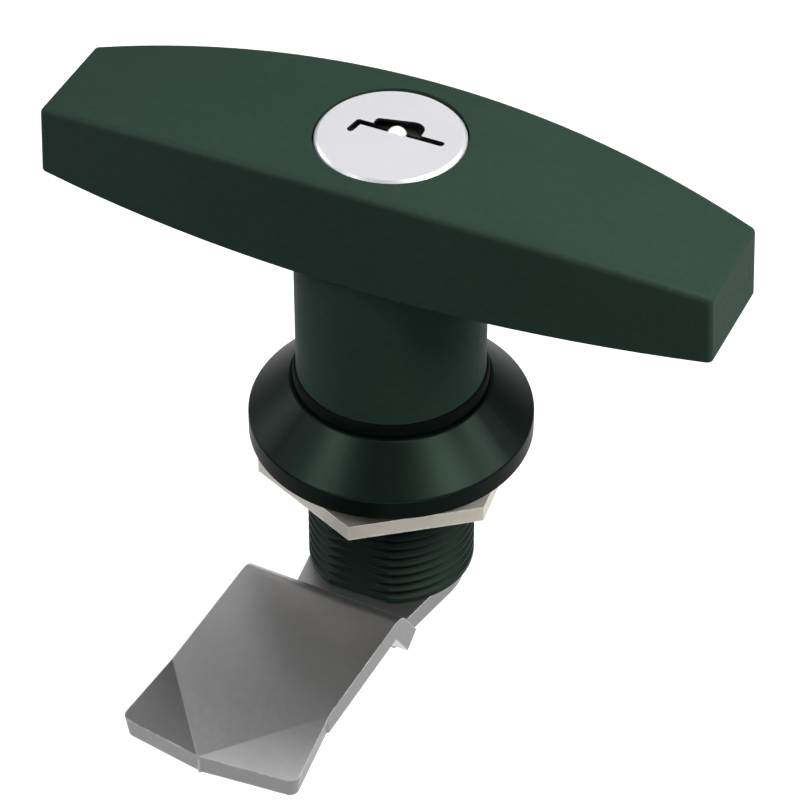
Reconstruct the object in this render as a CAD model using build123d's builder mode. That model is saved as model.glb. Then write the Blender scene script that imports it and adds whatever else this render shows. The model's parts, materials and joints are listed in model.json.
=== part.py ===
"""Handle lock: a T handle with a key cylinder turns a cranked cam behind a panel."""
import os
from math import acos, atan2, cos, degrees, radians, sin, sqrt, tan

from build123d import *

os.makedirs("parts", exist_ok=True)

# Lengths are in millimetres, angles in degrees.
# The origin is the centre of the panel seat, under the flange. +Z runs up to the handle,
# X along the handle's bar, and at rest the cam points to -Y.

# Handle bar and column
bar_length = 90.4
bar_end_width = 14.8
bar_mid_width = 25.2
bar_end_height = 9.8
bar_crown = 4.9
bar_end_draft = 3.0
bar_edge_round = 0.8
bar_foot_round = 0.3
column_diameter = 24.4
column_length = 21.4

# Flange and threaded body
flange_diameter = 36.9
rim_height = 2.8
rim_round = 0.4
collar_diameter = 26.0
collar_height = 8.3
collar_round = 0.5
thread_diameter = 22.0
thread_pitch = 1.5
thread_depth = 0.92
thread_runout = 2.0
body_length = 22.0
body_flats = 20.1
floor_thickness = 5.65
washer_recess_diameter = 17.4

# Neck of the handle inside the body
neck_diameter = 18.0
neck_length = 23.2
running_gap = 0.05
bearing_clearance = 0.08
spindle_clearance = 0.06
press_clearance = 0.02

# Seals
column_seal_height = 1.95
column_seal_diameter = 25.2
panel_seal_diameter = 29.0
panel_seal_width = 2.2
panel_seal_depth = 1.5
panel_seal_lift = 0.03
o_ring_section = 1.6
o_ring_height = -0.2

# Spindle and what locates it
spindle_diameter = 10.0
spindle_top = 1.0
spindle_pin_diameter = 3.0
spindle_pin_height = -4.6
spindle_pin_end_gap = 0.4
thrust_washer_thickness = 0.6
stop_pin_diameter = 2.4
stop_pin_radius = 7.2
stop_pin_angle = 225.0
stop_pin_grip = 4.5
stop_slot_depth = 2.4
stop_end_clearance = 0.6
handle_swing = 90.0
spindle_washer_thickness = 1.0
spindle_washer_diameter = 16.6
circlip_thickness = 1.0
circlip_diameter = 13.6
circlip_groove_depth = 0.6
circlip_gap = 5.0

# Detent between spindle and body
ball_diameter = 3.0
ball_bore_clearance = 0.05
ball_height = -17.6
dimple_depth = 0.2
detent_wire = 0.4
detent_turns = 5

# Cam
cam_thickness = 3.0
cam_gap = 0.1
cam_square = 7.0
square_clearance = 0.05
square_relief = 0.2
cam_lean = -2.4
root_radius = 9.8
neck_half_width = 8.1
neck_reach = 11.5
crank_reach = 18.8
crank_rise = 8.5
crank_slope = 56.0
shoulder_drop = 6.6
arm_half_width = 11.1
arm_flare = 1.3
arm_crease_reach = 38.7
arm_corner_reach = 49.6
arm_reach = 52.0
tip_fold = 8.0
tip_round = 1.2
crank_outer_bend = 3.5
crank_inner_bend = 0.5
neck_fillet = 1.6
shoulder_round = 0.6

# Cam fixing
cam_screw_diameter = 5.0
cam_screw_head = 8.0
cam_screw_head_height = 3.5
cam_screw_grip = 5.6
screw_clearance = 0.3
cam_washer_diameter = 15.0
cam_washer_thickness = 1.2
lock_washer_diameter = 9.0
lock_washer_thickness = 1.3
lock_washer_slit = 0.9

# Nut
nut_across_flats = 30.5
nut_thickness = 3.2
nut_clearance = 0.04
nut_chamfer = 0.9
nut_turn = 6.7
panel_thickness = 2.06

# Key cylinder
cap_diameter = 18.8
cap_thickness = 1.5
cap_bevel = 0.5
cap_gap = 0.2
cap_face_thickness = 0.4
cap_room_length = 10.4
cap_room_front = 2.7
cap_room_back = 4.2
cap_arm_room_length = 14.0
cap_arm_room_width = 3.5
shell_clearance = 0.05
shell_length = 26.9
shell_broach_depth = 1.2
shell_recess_diameter = 16.8
shell_recess_depth = 2.6
plug_diameter = 12.0
plug_clearance = 0.05
plug_tail_gap = 0.2
key_slot_width = 0.9
key_slot_right = 6.0
key_slot_left = 4.9
key_slot_offset = 0.4
key_hook_drop = 1.8
key_hook_shift = 0.3
key_hump_half_width = 3.2
key_hump_left_height = 2.0
key_hump_right_height = 3.5
key_hump_left_round = 0.5
key_hump_right_round = 1.5
keyway_length = 9.0
keyway_width = 2.2
clip_thickness = 0.9
clip_diameter = 15.6
clip_groove_depth = 1.0
clip_height_gap = 0.05

# Dust shutter
shutter_room = 5.0
shutter_room_length = 9.8
shutter_room_width = 5.4
shutter_length = 9.2
shutter_reach = 4.2
shutter_thickness = 0.5
shutter_gap = 0.1
shutter_dome_radius = 1.3
shutter_dome_shift = -0.45
shutter_dome_offset = 1.25
shutter_dome_sink = 0.2
shutter_knuckle_diameter = 1.5
shutter_pin_diameter = 0.8
shutter_spring_room = 2.2
shutter_spring_diameter = 1.4
shutter_spring_wire = 0.16
shutter_spring_turns = 3

# Wafers
wafer_count = 6
wafer_thickness = 0.9
wafer_width = 5.0
wafer_pitch = 2.4
wafer_clearance = 0.05
wafer_top_wall = 1.2
wafer_lug_width = 1.5
wafer_lug_length = 1.0
wafer_lug_offset = 0.6
wafer_travel = 0.8
wafer_spring_diameter = 1.2
wafer_spring_wire = 0.2
wafer_spring_turns = 5
wafer_room_clearance = 0.1

# Driver and lock bolt
driver_bore = 8.4
driver_rod_diameter = 6.0
driver_disc_diameter = 8.0
driver_disc_thickness = 1.2
driver_tongue_width = 2.0
driver_tongue_length = 8.0
driver_tongue_height = 2.0
crank_pin_diameter = 2.2
crank_throw = 2.4
crank_play = 0.6
bolt_width = 8.0
bolt_nose_width = 4.2
bolt_nose_length = 3.2
bolt_height = 3.2
bolt_clearance = 0.1
bolt_floor = 3.1
bolt_wall = 1.9
notch_clearance = 0.3

# Cylinder retaining pin
retaining_pin_diameter = 2.5
retaining_pin_height = 36.5
retaining_pin_offset = 0.35
retaining_pin_reach = 4.0
retaining_pin_recess = 0.3

# Heights worked out from the sizes above
shoulder_z = collar_height + column_seal_height + running_gap
bar_foot_z = shoulder_z + column_length
bar_end_z = bar_foot_z + bar_end_height
crown_z = bar_end_z + bar_crown
cap_foot_z = crown_z - cap_thickness
shell_top_z = cap_foot_z - running_gap
shell_foot_z = shell_top_z - shell_length
neck_foot_z = shoulder_z - neck_length
floor_z = neck_foot_z - thrust_washer_thickness - running_gap
recess_z = floor_z - floor_thickness
spindle_washer_z = recess_z - running_gap
circlip_z = spindle_washer_z - spindle_washer_thickness - running_gap
cam_top_z = -body_length - cam_gap
cam_foot_z = cam_top_z - cam_thickness
paddle_top_z = cam_top_z + crank_rise
lock_washer_z = cam_foot_z - cam_washer_thickness
screw_head_z = lock_washer_z - lock_washer_thickness
nut_top_z = -panel_thickness
plug_foot_z = shell_foot_z + plug_tail_gap
clip_top_z = shell_foot_z + shell_recess_depth - clip_height_gap
shutter_top_z = cap_foot_z - shutter_gap
wafer_top_z = cap_foot_z - shutter_room - wafer_top_wall
bolt_top_z = bolt_floor + bolt_height + 2 * bolt_clearance
disc_foot_z = bolt_top_z + bolt_clearance
disc_top_z = disc_foot_z + driver_disc_thickness

# Radii worked out from the sizes above
neck_radius = neck_diameter / 2
neck_bore_radius = neck_radius + bearing_clearance
spindle_radius = spindle_diameter / 2
spindle_bore_radius = spindle_radius + spindle_clearance
thread_radius = thread_diameter / 2
cap_bore_radius = cap_diameter / 2 + cap_gap
shell_radius = cap_bore_radius - shell_clearance
plug_radius = plug_diameter / 2
plug_bore_radius = plug_radius + plug_clearance
retaining_pin_x = shell_radius + retaining_pin_offset
ball_radius = ball_diameter / 2
ball_centre = spindle_bore_radius - ball_bore_clearance - ball_radius


def coil_path(radius, length, turns):
    """Points and directions of a helix about +X, one for each quarter turn."""
    steps = turns * 4
    climb = length / (turns * 360)
    for step in range(steps + 1):
        angle = step * 90.0
        spot = Vector(angle * climb, radius * cos(radians(angle)), radius * sin(radians(angle)))
        lead = climb * degrees(1)
        way = Vector(lead, -radius * sin(radians(angle)), radius * cos(radians(angle)))
        yield spot, way.normalized()


def coil_spring(start, radius, wire, length, turns):
    """A compression spring along +X: one unbroken tube on pairs of tangent arcs."""
    points = list(coil_path(radius, length - wire, turns))
    shift = start + Vector(wire / 2, 0, 0)
    with BuildPart() as spring:
        with BuildLine() as route:
            for (p_0, t_0), (p_1, t_1) in zip(points, points[1:]):
                gap = p_1 - p_0
                turn = 2 * (t_0.dot(t_1) - 1)
                along = gap.dot(t_0 + t_1)
                reach = (along - sqrt(along * along - turn * gap.dot(gap))) / turn
                middle = (p_0 + t_0 * reach + p_1 - t_1 * reach) * 0.5
                way = (p_1 - t_1 * reach) - (p_0 + t_0 * reach)
                TangentArc(p_0 + shift, middle + shift, tangent=t_0)
                TangentArc(middle + shift, p_1 + shift, tangent=way.normalized())
        with BuildSketch(Plane(origin=route.line @ 0, z_dir=route.line % 0)):
            Circle(wire / 2)
        sweep(path=route.line)
    return spring.part


# Handle: bar, column and the neck that turns in the body
bar_foot_half = bar_length / 2
bar_top_half = bar_foot_half - bar_end_height * tan(radians(bar_end_draft))
with BuildPart() as handle:
    with BuildSketch(Plane.XZ):
        with BuildLine():
            ThreePointArc((-bar_top_half, bar_end_z), (0, crown_z), (bar_top_half, bar_end_z))
            Polyline(
                (bar_top_half, bar_end_z),
                (bar_foot_half, bar_foot_z),
                (-bar_foot_half, bar_foot_z),
                (-bar_top_half, bar_end_z),
            )
        make_face()
    extrude(amount=bar_mid_width, both=True)
    with BuildSketch(Plane.XY.offset(bar_foot_z)):
        with BuildLine():
            front = ThreePointArc(
                (-bar_foot_half, -bar_end_width / 2),
                (0, -bar_mid_width / 2),
                (bar_foot_half, -bar_end_width / 2),
            )
            back = ThreePointArc(
                (-bar_foot_half, bar_end_width / 2),
                (0, bar_mid_width / 2),
                (bar_foot_half, bar_end_width / 2),
            )
            Line(front @ 0, back @ 0)
            Line(front @ 1, back @ 1)
        make_face()
    extrude(amount=bar_end_height + bar_crown, mode=Mode.INTERSECT)
    foot_edges = handle.faces().sort_by(Axis.Z)[0].edges()
    upper_edges = handle.edges() - foot_edges
    fillet(upper_edges, bar_edge_round)
    foot_edges = handle.faces().sort_by(Axis.Z)[0].edges()
    fillet(foot_edges, bar_foot_round)
    with BuildSketch(Plane.XY.offset(shoulder_z)):
        Circle(column_diameter / 2)
    extrude(amount=column_length + bar_end_height / 2)
    with BuildSketch(Plane.XY.offset(neck_foot_z)):
        Circle(neck_radius)
    extrude(amount=neck_length)
    # Bore for the key cylinder, and the smaller one for its driver
    with BuildSketch(Plane.XY.offset(shell_foot_z)):
        Circle(cap_bore_radius)
    extrude(amount=crown_z - shell_foot_z + bar_edge_round, mode=Mode.SUBTRACT)
    with BuildSketch(Plane.XY.offset(bolt_floor)):
        Circle(driver_bore / 2)
    extrude(amount=shell_foot_z - bolt_floor, mode=Mode.SUBTRACT)
    # Slot that the lock bolt slides in, open at the back of the neck
    slot_back = bolt_wall + crank_play + crank_pin_diameter / 2 + bolt_clearance
    with BuildSketch(Plane.XY.offset(bolt_floor)):
        with Locations((0, (neck_diameter - slot_back) / 2)):
            Rectangle(bolt_width + 2 * bolt_clearance, neck_diameter + slot_back)
    extrude(amount=bolt_top_z - bolt_floor, mode=Mode.SUBTRACT)
    # Socket for the spindle, its cross pin, the stop pin and the seal groove
    with BuildSketch(Plane.XY.offset(neck_foot_z)):
        Circle(spindle_radius + press_clearance)
        with PolarLocations(stop_pin_radius, 1, start_angle=stop_pin_angle):
            Circle(stop_pin_diameter / 2)
    extrude(amount=stop_pin_grip, mode=Mode.SUBTRACT)
    with BuildSketch(Plane.XY.offset(neck_foot_z)):
        Circle(spindle_radius + press_clearance)
    extrude(amount=spindle_top - neck_foot_z, mode=Mode.SUBTRACT)
    with BuildSketch(Plane.YZ):
        with Locations((0, spindle_pin_height)):
            Circle(spindle_pin_diameter / 2)
    extrude(amount=neck_diameter, both=True, mode=Mode.SUBTRACT)
    with BuildSketch(Plane.XY.offset(o_ring_height - o_ring_section / 2 - running_gap)):
        Circle(neck_diameter)
        Circle(neck_radius + running_gap - o_ring_section - press_clearance, mode=Mode.SUBTRACT)
    extrude(amount=o_ring_section + 2 * running_gap, mode=Mode.SUBTRACT)
    # Hole for the pin that holds the key cylinder
    with BuildSketch(Plane.XZ.offset(retaining_pin_reach)):
        with Locations((retaining_pin_x, retaining_pin_height)):
            Circle(retaining_pin_diameter / 2)
    extrude(amount=-(retaining_pin_reach + bar_mid_width), mode=Mode.SUBTRACT)
handle.part.label = "handle"
export_step(handle.part, "parts/handle.step")

# Housing: flange, collar and threaded body in one casting
thread_turns = int((body_length - thread_runout) / thread_pitch)
crest_flat = thread_pitch / 8
with BuildPart() as housing:
    with BuildSketch(Plane.XZ):
        with BuildLine():
            outline = [
                (neck_bore_radius, collar_height),
                (collar_diameter / 2, collar_height),
                (flange_diameter / 2, rim_height),
                (flange_diameter / 2, 0),
                (thread_radius, 0),
            ]
            for turn in range(thread_turns):
                top = -thread_runout - turn * thread_pitch
                outline.append((thread_radius, top))
                outline.append((thread_radius - thread_depth, top - thread_pitch / 2 + crest_flat / 2))
                outline.append((thread_radius - thread_depth, top - thread_pitch / 2 - crest_flat / 2))
                outline.append((thread_radius, top - thread_pitch + crest_flat))
            outline += [
                (thread_radius, -body_length),
                (washer_recess_diameter / 2, -body_length),
                (washer_recess_diameter / 2, recess_z),
                (spindle_bore_radius, recess_z),
                (spindle_bore_radius, floor_z),
                (neck_bore_radius, floor_z),
            ]
            Polyline(*outline, close=True)
        make_face()
    revolve(axis=Axis.Z)
    rim_edges = housing.edges().filter_by(GeomType.CIRCLE).group_by(SortBy.RADIUS)[-1]
    fillet(rim_edges.sort_by(Axis.Z)[-1], rim_round)
    collar_edges = housing.edges().filter_by(GeomType.CIRCLE).group_by(Axis.Z)[-1]
    fillet(collar_edges.sort_by(SortBy.RADIUS)[-1], collar_round)
    # Two flats that keep the body from turning in the panel
    with BuildSketch(Plane.XY.offset(-body_length)):
        with Locations((0, body_flats / 2 + thread_radius), (0, -body_flats / 2 - thread_radius)):
            Rectangle(thread_diameter, 2 * thread_radius)
    extrude(amount=body_length, mode=Mode.SUBTRACT)
    # Notches for the lock bolt, at both ends of the handle's swing
    notch_width = bolt_nose_width + 2 * notch_clearance
    notch_reach = neck_radius + crank_throw + notch_clearance
    with BuildSketch(Plane.XY.offset(bolt_floor - bolt_clearance)):
        with Locations((0, notch_reach / 2)):
            Rectangle(notch_width, notch_reach)
        with Locations((-notch_reach / 2, 0)):
            Rectangle(notch_reach, notch_width)
    extrude(amount=bolt_top_z - bolt_floor + 2 * bolt_clearance, mode=Mode.SUBTRACT)
    # Curved slot that stops the handle's swing
    with BuildSketch(Plane.XY.offset(floor_z)):
        stop_arc = CenterArc(
            (0, 0),
            stop_pin_radius,
            stop_pin_angle - stop_end_clearance,
            handle_swing + 2 * stop_end_clearance,
            mode=Mode.PRIVATE,
        )
        SlotArc(stop_arc, stop_pin_diameter + 2 * bearing_clearance)
    extrude(amount=-stop_slot_depth, mode=Mode.SUBTRACT)
    # Dimples for the detent balls, one each quarter turn
    with Locations(Location((0, 0, ball_height))):
        with PolarLocations(ball_centre + dimple_depth, 4):
            Sphere(ball_radius + ball_bore_clearance, mode=Mode.SUBTRACT)
    # Groove for the panel seal
    with BuildSketch(Plane.XY):
        Circle((panel_seal_diameter + panel_seal_width) / 2)
        Circle((panel_seal_diameter - panel_seal_width) / 2, mode=Mode.SUBTRACT)
    extrude(amount=panel_seal_depth + panel_seal_lift, mode=Mode.SUBTRACT)
housing.part.label = "housing"
export_step(housing.part, "parts/housing.step")

# Seals: round the column, under the flange and round the neck
with BuildPart() as column_seal:
    with BuildSketch(Plane.XY.offset(collar_height)):
        Circle(column_seal_diameter / 2)
        Circle(neck_bore_radius, mode=Mode.SUBTRACT)
    extrude(amount=column_seal_height)
    round_edges = column_seal.edges().filter_by(GeomType.CIRCLE).sort_by(SortBy.RADIUS)[-2:]
    fillet(round_edges, collar_round)
column_seal.part.label = "column_seal"
export_step(column_seal.part, "parts/column_seal.step")

with BuildPart() as panel_seal:
    with BuildSketch(Plane.XY.offset(panel_seal_lift)):
        Circle((panel_seal_diameter + panel_seal_width) / 2)
        Circle((panel_seal_diameter - panel_seal_width) / 2, mode=Mode.SUBTRACT)
    extrude(amount=panel_seal_depth)
panel_seal.part.label = "panel_seal"
export_step(panel_seal.part, "parts/panel_seal.step")

with BuildPart() as neck_o_ring:
    with BuildSketch(Plane.XZ):
        with Locations((neck_radius + running_gap - o_ring_section / 2, o_ring_height)):
            Circle(o_ring_section / 2)
    revolve(axis=Axis.Z)
neck_o_ring.part.label = "neck_o_ring"
export_step(neck_o_ring.part, "parts/neck_o_ring.step")

# Spindle: pinned in the neck, square where the cam sits
spindle_shoulder_z = cam_top_z
with BuildPart() as spindle:
    with BuildSketch(Plane.XY.offset(spindle_shoulder_z)):
        Circle(spindle_radius)
    extrude(amount=spindle_top - running_gap - spindle_shoulder_z)
    with BuildSketch(Plane.XY.offset(spindle_shoulder_z)):
        Rectangle(cam_square, cam_square)
    extrude(amount=-(cam_thickness - square_relief))
    with BuildSketch(Plane.YZ):
        with Locations((0, spindle_pin_height)):
            Circle(spindle_pin_diameter / 2 + press_clearance)
    extrude(amount=spindle_diameter, both=True, mode=Mode.SUBTRACT)
    with BuildSketch(Plane.YZ):
        with Locations((0, ball_height)):
            Circle(ball_radius + ball_bore_clearance)
    extrude(amount=spindle_diameter, both=True, mode=Mode.SUBTRACT)
    with BuildSketch(Plane.XY.offset(circlip_z - circlip_thickness - running_gap)):
        Circle(spindle_diameter)
        Circle(spindle_radius - circlip_groove_depth, mode=Mode.SUBTRACT)
    extrude(amount=circlip_thickness + 2 * running_gap, mode=Mode.SUBTRACT)
    with BuildSketch(Plane.XY.offset(cam_foot_z)):
        Circle(cam_screw_diameter / 2 + press_clearance)
    extrude(amount=cam_screw_grip, mode=Mode.SUBTRACT)
spindle.part.label = "spindle"
export_step(spindle.part, "parts/spindle.step")

with BuildPart() as spindle_pin:
    pin_half = sqrt(neck_radius**2 - (spindle_pin_diameter / 2) ** 2) - spindle_pin_end_gap
    with BuildSketch(Plane.YZ.offset(-pin_half)):
        with Locations((0, spindle_pin_height)):
            Circle(spindle_pin_diameter / 2)
    extrude(amount=2 * pin_half)
    chamfer(spindle_pin.edges().filter_by(GeomType.CIRCLE), spindle_pin_end_gap / 2)
spindle_pin.part.label = "spindle_pin"
export_step(spindle_pin.part, "parts/spindle_pin.step")

with BuildPart() as thrust_washer:
    with BuildSketch(Plane.XY.offset(neck_foot_z)):
        Circle(neck_radius)
        Circle(spindle_radius + press_clearance, mode=Mode.SUBTRACT)
        with PolarLocations(stop_pin_radius, 1, start_angle=stop_pin_angle):
            Circle(stop_pin_diameter / 2 + press_clearance, mode=Mode.SUBTRACT)
    extrude(amount=-thrust_washer_thickness)
thrust_washer.part.label = "thrust_washer"
export_step(thrust_washer.part, "parts/thrust_washer.step")

with BuildPart() as stop_pin:
    pin_foot_z = floor_z - stop_slot_depth + running_gap
    with BuildSketch(Plane.XY.offset(pin_foot_z)):
        with PolarLocations(stop_pin_radius, 1, start_angle=stop_pin_angle):
            Circle(stop_pin_diameter / 2)
    extrude(amount=neck_foot_z + stop_pin_grip - pin_foot_z)
stop_pin.part.label = "stop_pin"
export_step(stop_pin.part, "parts/stop_pin.step")

with BuildPart() as spindle_washer:
    with BuildSketch(Plane.XY.offset(spindle_washer_z)):
        Circle(spindle_washer_diameter / 2)
        Circle(spindle_radius + press_clearance, mode=Mode.SUBTRACT)
    extrude(amount=-spindle_washer_thickness)
spindle_washer.part.label = "spindle_washer"
export_step(spindle_washer.part, "parts/spindle_washer.step")

with BuildPart() as spindle_circlip:
    with BuildSketch(Plane.XY.offset(circlip_z)):
        Circle(circlip_diameter / 2)
        Circle(spindle_radius - circlip_groove_depth + press_clearance, mode=Mode.SUBTRACT)
        with Locations((0, circlip_diameter / 2)):
            Rectangle(circlip_gap, circlip_diameter, mode=Mode.SUBTRACT)
    extrude(amount=-circlip_thickness)
spindle_circlip.part.label = "spindle_circlip"
export_step(spindle_circlip.part, "parts/spindle_circlip.step")

# Detent: a spring pushes two balls apart, across the spindle
with BuildPart() as detent_balls:
    with Locations((-ball_centre, 0, ball_height), (ball_centre, 0, ball_height)):
        Sphere(ball_radius)
detent_balls.part.label = "detent_balls"
export_step(detent_balls.part, "parts/detent_balls.step")

spring_half = ball_centre - ball_radius + detent_wire / 2
spring_radius = ball_radius - detent_wire / 2 - ball_bore_clearance
spring_start = Vector(-spring_half, 0, ball_height)
detent_coil = coil_spring(spring_start, spring_radius, detent_wire, 2 * spring_half, detent_turns)
with BuildPart() as detent_spring:
    add(detent_coil)
detent_spring.part.label = "detent_spring"
export_step(detent_spring.part, "parts/detent_spring.step")

# Nut that clamps the flange to the panel
with BuildPart() as hex_nut:
    with BuildSketch(Plane.XY.offset(nut_top_z)):
        RegularPolygon(nut_across_flats / 2, 6, major_radius=False, rotation=nut_turn + 30)
        Circle(thread_radius + nut_clearance, mode=Mode.SUBTRACT)
    extrude(amount=-nut_thickness)
    nut_corner = nut_across_flats / sqrt(3)
    with BuildSketch(Plane.XZ):
        with BuildLine():
            Polyline(
                (0, nut_top_z),
                (nut_corner - 2 * nut_chamfer, nut_top_z),
                (nut_corner, nut_top_z - nut_chamfer),
                (nut_corner, nut_top_z - nut_thickness),
                (0, nut_top_z - nut_thickness),
                close=True,
            )
        make_face()
    revolve(axis=Axis.Z, mode=Mode.INTERSECT)
hex_nut.part.label = "hex_nut"
export_step(hex_nut.part, "parts/hex_nut.step")

# Cam: a round root on the spindle's square, a sloping crank up towards the panel, and
# an arm whose two tip corners fold down to lead it under the frame
arm_right = Vector(cos(radians(cam_lean)), sin(radians(cam_lean)), 0)
arm_back = Vector(-sin(radians(cam_lean)), cos(radians(cam_lean)), 0)
up = Vector(0, 0, 1)
cam_side = Plane(origin=(0, 0, 0), x_dir=arm_back, z_dir=arm_right)
cam_plan = Plane(origin=(0, 0, cam_foot_z), x_dir=arm_right, z_dir=up)
neck_distance = sqrt(neck_half_width**2 + neck_reach**2)
tangent_angle = degrees(atan2(-neck_reach, neck_half_width) + acos(root_radius / neck_distance))

# The crank slopes between two bends, and under the sheet both are further out
crank_foot_reach = crank_reach - crank_rise / tan(radians(crank_slope))
bend_shift = cam_thickness * tan(radians(crank_slope / 2))
slope_way = arm_back * cos(radians(crank_slope)) - up * sin(radians(crank_slope))
shoulder_reach = crank_reach - shoulder_drop / tan(radians(crank_slope))


def arm_spot(across, reach, height=paddle_top_z):
    """A point measured from the spindle along the arm, on its upper face by default."""
    return arm_right * across - arm_back * reach + up * height


with BuildSketch(cam_side) as crank:
    with BuildLine():
        Polyline(
            (arm_half_width, cam_top_z),
            (-crank_foot_reach, cam_top_z),
            (-crank_reach, paddle_top_z),
            (-arm_reach - 1, paddle_top_z),
            (-arm_reach - 1, paddle_top_z - cam_thickness),
            (-crank_reach - bend_shift, paddle_top_z - cam_thickness),
            (-crank_foot_reach - bend_shift, cam_foot_z),
            (arm_half_width, cam_foot_z),
            close=True,
        )
    make_face()
    for corner, bend in (
        ((-crank_reach, paddle_top_z, 0), crank_outer_bend),
        ((-crank_foot_reach, cam_top_z, 0), crank_inner_bend),
        ((-crank_reach - bend_shift, paddle_top_z - cam_thickness, 0), crank_inner_bend),
        ((-crank_foot_reach - bend_shift, cam_foot_z, 0), crank_outer_bend),
    ):
        fillet(crank.vertices().sort_by_distance(corner)[0], bend)

with BuildPart() as cam_root:
    extrude(crank.sketch, amount=root_radius, both=True)
    with BuildSketch(cam_plan):
        with BuildLine():
            root_arc = CenterArc((0, 0), root_radius, tangent_angle, 180 - 2 * tangent_angle)
            Polyline(
                root_arc @ 0,
                (neck_half_width, -neck_reach),
                (neck_half_width, -crank_reach + cam_thickness / 2),
                (-neck_half_width, -crank_reach + cam_thickness / 2),
                (-neck_half_width, -neck_reach),
                root_arc @ 1,
            )
        make_face()
    extrude(amount=crank_rise + cam_thickness, mode=Mode.INTERSECT)

with BuildPart() as cam:
    extrude(crank.sketch, amount=arm_half_width, both=True)
    shoulder_spot = arm_spot(0, shoulder_reach, paddle_top_z - shoulder_drop)
    split(bisect_by=Plane(origin=shoulder_spot, x_dir=arm_right, z_dir=slope_way), keep=Keep.BOTTOM)
    with BuildSketch(cam_plan):
        with BuildLine():
            Polyline(
                (arm_half_width, 0),
                (arm_half_width, -arm_crease_reach),
                (0, -arm_reach),
                (-arm_half_width, -arm_crease_reach),
                (-arm_half_width, 0),
                close=True,
            )
        make_face()
    extrude(amount=crank_rise + cam_thickness, mode=Mode.INTERSECT)
    add(cam_root.part)
    # Round the shoulders outside and where they meet the neck
    sheet_middle = slope_way.cross(arm_right) * (cam_thickness / 2)
    for side in (1, -1):
        for across, rounding in ((neck_half_width, neck_fillet), (arm_half_width, shoulder_round)):
            corner = shoulder_spot + arm_right * side * across + sheet_middle
            fillet(cam.edges().sort_by_distance(corner)[0], rounding)
    for side in (1, -1):
        start = arm_spot(side * arm_half_width, arm_crease_reach)
        apex = arm_spot(0, arm_reach)
        corner = arm_spot(side * (arm_half_width + arm_flare), arm_corner_reach)
        crease = (apex - start).normalized()
        outward = up.cross(crease) * side
        facing = up * cos(radians(tip_fold)) + outward * sin(radians(tip_fold))
        along = (corner - start).dot(crease)
        across = (corner - start).dot(outward)
        with BuildSketch(Plane(origin=start, x_dir=crease, z_dir=facing)) as tip:
            with BuildLine():
                Polyline((0, 0), ((apex - start).length, 0), (along, side * across), close=True)
            make_face()
            fillet(tip.vertices().sort_by_distance((along, side * across, 0))[0], tip_round)
        extrude(amount=-cam_thickness)
        # The tip's front edge is cut upright
        front = start + crease * along + outward * across * cos(radians(tip_fold)) - apex
        ahead = front.cross(up).normalized() * side
        split(bisect_by=Plane(origin=apex, x_dir=up, z_dir=ahead), keep=Keep.BOTTOM)
    with BuildSketch(Plane.XY.offset(cam_foot_z)):
        Rectangle(cam_square + 2 * square_clearance, cam_square + 2 * square_clearance)
    extrude(amount=cam_thickness, mode=Mode.SUBTRACT)
cam.part.label = "cam"
export_step(cam.part, "parts/cam.step")

# Screw, plain washer and split washer that hold the cam on its square
with BuildPart() as cam_washer:
    with BuildSketch(Plane.XY.offset(cam_foot_z)):
        Circle(cam_washer_diameter / 2)
        Circle((cam_screw_diameter + screw_clearance) / 2, mode=Mode.SUBTRACT)
    extrude(amount=-cam_washer_thickness)
cam_washer.part.label = "cam_washer"
export_step(cam_washer.part, "parts/cam_washer.step")

with BuildPart() as cam_lock_washer:
    with BuildSketch(Plane.XY.offset(lock_washer_z)):
        Circle(lock_washer_diameter / 2)
        Circle((cam_screw_diameter + screw_clearance) / 2, mode=Mode.SUBTRACT)
        with Locations((lock_washer_diameter / 2, 0)):
            Rectangle(lock_washer_diameter, lock_washer_slit, mode=Mode.SUBTRACT)
    extrude(amount=-lock_washer_thickness)
cam_lock_washer.part.label = "cam_lock_washer"
export_step(cam_lock_washer.part, "parts/cam_lock_washer.step")

with BuildPart() as cam_screw:
    with BuildSketch(Plane.XY.offset(screw_head_z)):
        RegularPolygon(cam_screw_head / 2, 6, major_radius=False)
    extrude(amount=-cam_screw_head_height)
    head_corner = cam_screw_head / sqrt(3)
    with BuildSketch(Plane.XZ):
        with BuildLine():
            Polyline(
                (0, screw_head_z),
                (head_corner, screw_head_z),
                (head_corner, screw_head_z - cam_screw_head_height + head_corner - cam_screw_head / 2),
                (cam_screw_head / 2, screw_head_z - cam_screw_head_height),
                (0, screw_head_z - cam_screw_head_height),
                close=True,
            )
        make_face()
    revolve(axis=Axis.Z, mode=Mode.INTERSECT)
    with BuildSketch(Plane.XY.offset(screw_head_z)):
        Circle(cam_screw_diameter / 2)
    screw_reach = cam_foot_z + cam_screw_grip - screw_head_z - screw_clearance
    extrude(amount=screw_reach)
    chamfer(cam_screw.faces().sort_by(Axis.Z)[-1].edges(), screw_clearance)
cam_screw.part.label = "cam_screw"
export_step(cam_screw.part, "parts/cam_screw.step")

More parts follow.
